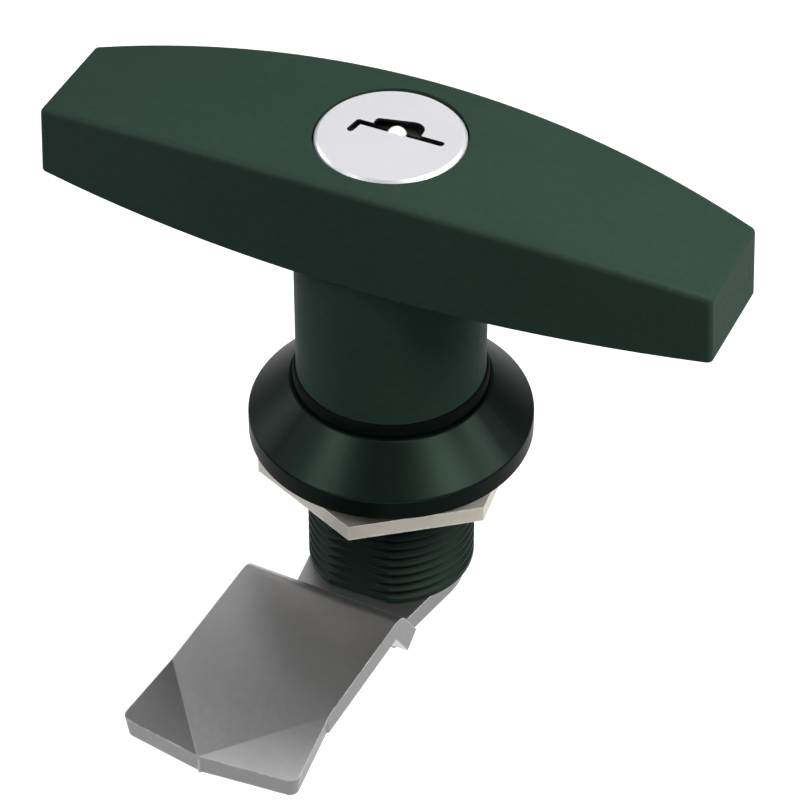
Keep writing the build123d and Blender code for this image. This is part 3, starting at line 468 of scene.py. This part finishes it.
def metal(
    name, colour, roughness, stretch, line_size, line_depth,
    tone_depth=0.35, gloss_swing=0.07, bare=1.0, side=1.0, painted_folds=(),
):
    """Bare or plated metal: drawn lines, uneven tone, lighter edges that are wear and a painted edge
    highlight, painted shade on upright sides, and painted shade and highlight on folded corners.
    """
    n, spot = new_finish(name)
    stretched = n.new("Mapping", {"Vector": spot, "Scale": stretch}).outputs[0]
    lines = n.use(drawn_lines, {"Vector": stretched, "Line Size": line_size})["Lines"]
    tone = n.use(mottle, {"Vector": spot, "Broad Size": 0.012, "Fine Size": 0.0012, "Depth": tone_depth})
    edge = n.use(edge_mask, {"Vector": spot, "Width": edge_wear_and_highlight_width, "Amount": 0.5})
    # Lighter edges: wear, and a painted highlight on every sharp edge
    wear_and_highlight = tuple(min(1.0, part * wear_and_highlight_gain) for part in colour[:3]) + (1.0,)
    up = n.parts(n.new("TexCoord").outputs["Normal"])["Z"]
    # Painted shade: upright sides are darkened by the factor side
    painted_side_shade = n.scale(n.math("ABSOLUTE", up), side_full, side_end, side, 1.0)
    shade = n.math("MULTIPLY", tone["Tone"], painted_side_shade)
    # Painted shade and painted highlight on the folded corners of the tip
    shade = n.math("MULTIPLY", shade, painted_fold_light(n, spot, up, painted_folds))
    surface(n, {
        "Base Color": n.mix(edge["Mask"], n.tint(colour, shade), wear_and_highlight),
        "Metallic": bare,
        "Roughness": n.vary(lines, roughness, gloss_swing),
        "Normal": n.bump(lines, line_depth),
    })


def plating_with_painted_shade(name, colour, painted_shade_share, broad_size, fine_size, tone_depth, roughness, bare):
    """Fine, even plating with painted shade: it turns dark and dull where its mask says so."""
    n, spot = new_finish(name)
    tone = n.use(mottle, {
        "Vector": spot, "Broad Size": broad_size, "Fine Size": fine_size, "Depth": tone_depth,
    })
    dark = painted_shade_share(n, spot)
    # Painted shade: the masked parts get a near-black colour, no metal and little shine
    surface(n, {
        "Base Color": n.mix(dark, n.tint(colour, tone["Tone"]), painted_slot_shade),
        "Metallic": n.between(dark, bare, 0.0),
        "Roughness": n.vary(tone["Speckle"], roughness, 0.055),
        "Specular IOR Level": n.between(dark, 0.5, 0.05),
        "Normal": n.bump(tone["Speckle"], 0.000003),
    })


def shaded_slot_walls(n, spot):
    """Where painted shade goes: 1 on the steep walls of the key slot, 0 on the cap's face and on its rim.
    """
    up = n.parts(n.new("TexCoord").outputs["Normal"])["Z"]
    place = n.parts(spot)
    flat = n.new("CombineXYZ", {"X": place["X"], "Y": place["Y"]}).outputs[0]
    reach = n.new("VectorMath", {0: flat}, operation="LENGTH").outputs["Value"]
    steep = n.scale(up, wall_from, wall_full)
    return n.math("MULTIPLY", steep, n.scale(reach, slot_reach_end, slot_reach))


def painted_flap_shade(n, spot):
    """Where painted shade goes: 1 on the flap, which lies in the slot, 0 on the dome that stands on it."""
    return n.scale(n.parts(spot)["Z"], flap_top + flap_top_blend, flap_top)


def rubber(name, colour):
    """Soft black rubber with a fine grain and hardly any shine."""
    n, spot = new_finish(name)
    tone = n.use(mottle, {"Vector": spot, "Broad Size": 0.006, "Fine Size": 0.0004, "Depth": 0.6})
    surface(n, {
        "Base Color": n.tint(colour, tone["Tone"]),
        "Roughness": n.vary(tone["Speckle"], 0.65, 0.10),
        "Specular IOR Level": 0.03,
        "Normal": n.bump(tone["Speckle"], 0.00003),
    })


def plastic(name, colour):
    """Smooth bearing plastic."""
    n, spot = new_finish(name)
    tone = n.use(mottle, {"Vector": spot, "Broad Size": 0.008, "Fine Size": 0.0006, "Depth": 0.2})
    surface(n, {
        "Base Color": n.tint(colour, tone["Tone"]),
        "Roughness": n.vary(tone["Speckle"], 0.425, 0.075),
        "Normal": n.bump(tone["Speckle"], 0.00001),
    })


coat(
    "handle_coat", handle_green, handle_green, handle_edge, roughness=0.42, gloss_swing=0.055,
    grain_size=0.0005, grain_depth=0.00003, tone_depth=0.22, shine=0.05,
)
coat(
    "housing_coat", housing_green, thread_green, housing_edge, roughness=0.36, gloss_swing=0.018,
    grain_size=0.0008, grain_depth=0.000005, tone_depth=0.12, shine=0.22,
)
rubber("seal_rubber", seal_black)
plastic("bearing_plastic", bearing_cream)
# The nut's and the cam's side values paint shade on their upright faces; the cam's folds paint shade and a
# highlight on its tip's corners
metal(
    "nut_zinc", nut_silver, roughness=0.36, stretch=even, line_size=0.0008, line_depth=0.000006,
    tone_depth=0.2, bare=0.5, side=0.60,
)
metal(
    "cam_zinc", cam_grey, roughness=0.36, stretch=along_arm, line_size=0.0004, line_depth=0.0000015,
    tone_depth=0.13, gloss_swing=0.035, side=0.42, painted_folds=(fold_left_painted_shade, fold_right_painted_highlight),
)
metal("fixing_zinc", fixing_grey, 0.32, around_axis, line_size=0.0006, line_depth=0.000006)
metal("turned_steel", turned_grey, 0.30, around_axis, line_size=0.0004, line_depth=0.000006)
metal("pin_steel", pin_grey, 0.28, even, line_size=0.0004, line_depth=0.000004)
metal("spring_steel", spring_grey, 0.35, even, line_size=0.0004, line_depth=0.000004)
metal("ball_steel", ball_silver, 0.12, even, line_size=0.0004, line_depth=0.000001)
metal("die_cast_zinc", die_cast_grey, 0.46, even, line_size=0.0006, line_depth=0.00001)
plating_with_painted_shade(
    "cap_satin", cap_silver, shaded_slot_walls,
    broad_size=0.010, fine_size=0.0005, tone_depth=0.10, roughness=0.365, bare=0.25,
)
plating_with_painted_shade(
    "shutter_steel", dome_silver, painted_flap_shade,
    broad_size=0.004, fine_size=0.0003, tone_depth=0.15, roughness=0.305, bare=0.4,
)
metal("wafer_brass", wafer_gold, 0.34, even, line_size=0.0004, line_depth=0.000005)

for part in frame["record"]["subparts"]:
    slots = nodes[part["node"]].data.materials
    slots.clear()
    slots.append(finishes[part["material_slot"]])


# Steps in shaping a piece
def edit(piece):
    """Edit mode on one piece, with nothing selected."""
    bpy.ops.object.select_all(action="DESELECT")
    piece.select_set(True)
    bpy.context.view_layer.objects.active = piece
    bpy.ops.object.mode_set(mode="EDIT")
    bpy.ops.mesh.select_all(action="DESELECT")


def leave():
    """Back to object mode."""
    bpy.ops.object.mode_set(mode="OBJECT")


def shift(piece, wanted, step):
    """Moves the vertices that a test accepts."""
    edit(piece)
    bpy.ops.mesh.select_mode(type="VERT")
    leave()
    for vertex in piece.data.vertices:
        vertex.select = wanted(vertex)
    bpy.ops.object.mode_set(mode="EDIT")
    bpy.ops.transform.translate(value=step)
    leave()


def apply_modifier(piece, kind, **settings):
    """Adds one modifier and applies it."""
    bpy.context.view_layer.objects.active = piece
    modifier = piece.modifiers.new(kind.lower(), kind)
    for name, value in settings.items():
        setattr(modifier, name, value)
    bpy.ops.object.modifier_apply(modifier=modifier.name)


def cut(piece, tool, operation):
    """Applies one boolean and takes the tool away."""
    apply_modifier(piece, "BOOLEAN", object=tool, operation=operation, solver="EXACT")
    bpy.data.objects.remove(tool, do_unlink=True)


def keep_folds(piece):
    """Marks the lines between two large faces sharp, so that a shallow fold still shows."""
    edit(piece)
    bpy.ops.mesh.select_mode(type="EDGE")
    leave()
    beside = {}
    for face in piece.data.polygons:
        if face.area > fold_face_area:
            for key in face.edge_keys:
                beside.setdefault(key, []).append(face.normal)
    for line in piece.data.edges:
        pair = beside.get(line.key, [])
        line.select = len(pair) == 2 and pair[0].angle(pair[1]) > fold_angle
    bpy.ops.object.mode_set(mode="EDIT")
    bpy.ops.mesh.mark_sharp()
    leave()


def soften(piece, width, steps):
    """Rounds every sharp edge as far as the overlap clamp lets it, smooth over them and flat between."""
    apply_modifier(
        piece, "BEVEL", width=width, segments=steps, limit_method="ANGLE", angle_limit=sharp_angle,
        use_clamp_overlap=True, harden_normals=False,
    )
    bpy.ops.object.select_all(action="DESELECT")
    piece.select_set(True)
    bpy.ops.object.shade_smooth_by_angle(angle=smooth_angle)
    keep_folds(piece)
    apply_modifier(piece, "WEIGHTED_NORMAL", mode="FACE_AREA", weight=100, keep_sharp=True)


def dress(piece, name, finish, body, node):
    """Names a piece, gives it its finish, and puts it on its body in the node's place."""
    piece.name = name
    piece.data.name = name
    piece.data.materials.clear()
    piece.data.materials.append(finishes[finish])
    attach(piece, body)
    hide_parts(node)


# Pieces
def recut(node, name, finish, body, width, steps):
    """A merged copy of a CAD node with hair-thin rounds on its sharp edges, in the node's place."""
    piece = bpy.data.objects.new(name, nodes[node].data.copy())
    bpy.context.scene.collection.objects.link(piece)
    edit(piece)
    bpy.ops.mesh.select_all(action="SELECT")
    bpy.ops.mesh.remove_doubles(threshold=merge_gap)
    bpy.ops.mesh.dissolve_limited(angle_limit=flat_angle)
    leave()
    soften(piece, width, steps)
    dress(piece, name, finish, body, node)
    return piece


def make_cam():
    """The cranked plate. A few thin faces on the under side of its arm fold back within that side."""
    recut("cam", "cam_plate", "cam_zinc", "handle_group", cam_round, 3)


def in_key_slot(vertex):
    """Whether a vertex of the cap is on the key slot's edges."""
    x, y, z = vertex.co
    return z > slot_floor and abs(x) < slot_half_length and slot_front < y < slot_back


def make_cap():
    """The face of the key cylinder, with its slot a little behind the middle."""
    cap = recut("plug_cap", "cap_face", "cap_satin", "plug_group", cap_round, 3)
    shift(cap, in_key_slot, slot_shift)


def make_flap():
    """The flap behind the slot, with its dome lifted to where it shows in the slot's hump."""
    flap = recut("dust_shutter", "shutter_flap", "shutter_steel", "shutter", flap_round, 2)
    shift(flap, lambda vertex: vertex.co.z > flap_top, dome_shift)


def turned_blank(radius, low, high):
    """A plain cylinder between two heights."""
    bpy.ops.object.select_all(action="DESELECT")
    bpy.ops.mesh.primitive_cylinder_add(
        vertices=blank_sides, radius=radius, depth=high - low, location=(0, 0, (high + low) / 2)
    )
    bpy.ops.object.transform_apply(location=True)
    return bpy.context.object


def make_nut():
    """A flat hexagon nut, cut from a round blank that just holds its corners. It has no chamfer."""
    low, high = (corner[2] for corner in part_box("hex_nut"))
    high -= nut_top_drop
    corner_radius = nut_across_flats / 2 / cos(radians(30))
    bpy.ops.object.select_all(action="DESELECT")
    bpy.ops.mesh.primitive_cylinder_add(
        vertices=6, radius=corner_radius, depth=high - low, location=(0, 0, (high + low) / 2),
        rotation=(0, 0, nut_turn),
    )
    nut = bpy.context.object
    bpy.ops.object.transform_apply(location=True, rotation=True)
    cut(nut, turned_blank(corner_radius, low, high), "INTERSECT")
    cut(nut, turned_blank(nut_bore, low - nut_bore, high + nut_bore), "DIFFERENCE")
    soften(nut, nut_round, 2)
    dress(nut, "nut", "nut_zinc", "fixed_body", "hex_nut")


make_nut()
make_cam()
make_cap()
make_flap()

# Studio
add_world()
add_camera()
add_floor()
softbox("light_right", azimuth=120.0, elevation=22.0, size=0.40, watts=5.5)
softbox("light_left", azimuth=-89.0, elevation=18.0, size=0.36, watts=5.0)
softbox(
    "light_near", azimuth=88.0, elevation=56.0, size=0.18, watts=1.0,
    distance=near_light_distance, colour=warm_white,
)
softbox("glint_right", azimuth=84.0, elevation=43.0, size=0.28, watts=1.8)
softbox("glint_left", azimuth=-37.0, elevation=43.0, size=0.26, watts=2.1)

scene = bpy.context.scene
scene.view_settings.view_transform = "Standard"

bpy.context.view_layer.update()
